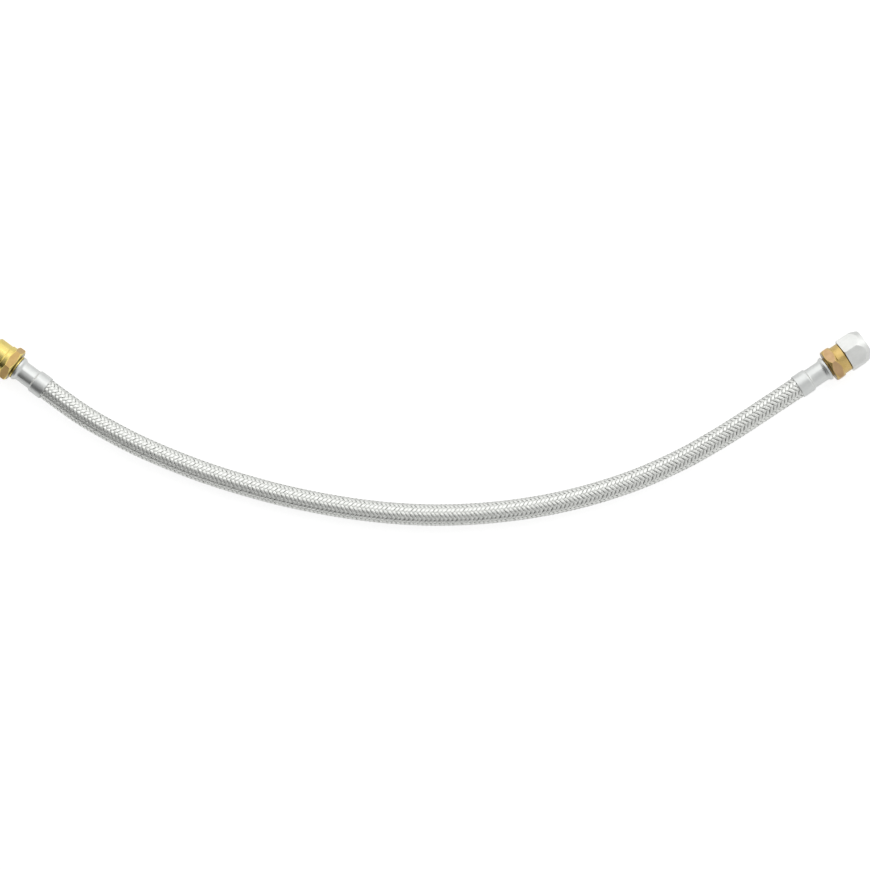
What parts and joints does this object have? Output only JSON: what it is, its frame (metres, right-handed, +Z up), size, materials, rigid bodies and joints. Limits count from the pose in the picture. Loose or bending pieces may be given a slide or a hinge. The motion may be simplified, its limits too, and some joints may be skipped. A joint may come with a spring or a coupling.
{
  "type": "flexible hose",
  "caption": "Braided steel flexible water hose lying in a shallow arc, with a plain brass spigot at one end and a swivel union nut at the other.",
  "frame": {"origin": "on the table, under the middle of the box round the fittings at both ends", "axes": "+Z up from the table, +X from the spigot end to the nut end, +Y to the hollow side of the hose's arc"},
  "size_m": [0.4659, 0.1023, 0.0195],
  "materials": {
    "steel_braid": "bright drawn stainless wire, woven",
    "steel_ferrule": "satin stainless sheet",
    "yellow_brass": "turned brass, bright on the round parts and drawn on the flats",
    "plated_nut": "satin plated steel",
    "spring_steel": "plain spring steel",
    "black_rubber": "matt black rubber"
  },
  "bodies": {
    "hose": {"braid_sleeve": "steel_braid", "rubber_liner": "black_rubber", "spigot_ferrule": "steel_ferrule", "spigot_fitting": "yellow_brass", "swivel_ferrule": "steel_ferrule", "swivel_fitting": "yellow_brass", "retaining_ring": "spring_steel"},
    "nut": {"union_nut": "plated_nut", "sealing_washer": "black_rubber"}
  },
  "joints": [
    {"name": "nut_swivel", "type": "hinge", "parent": "hose", "child": "nut", "pos_m": [0.22288, 0.00743, 0.00976], "axis": [0.8336, 0.5524, 0], "continuous": true}
  ]
}
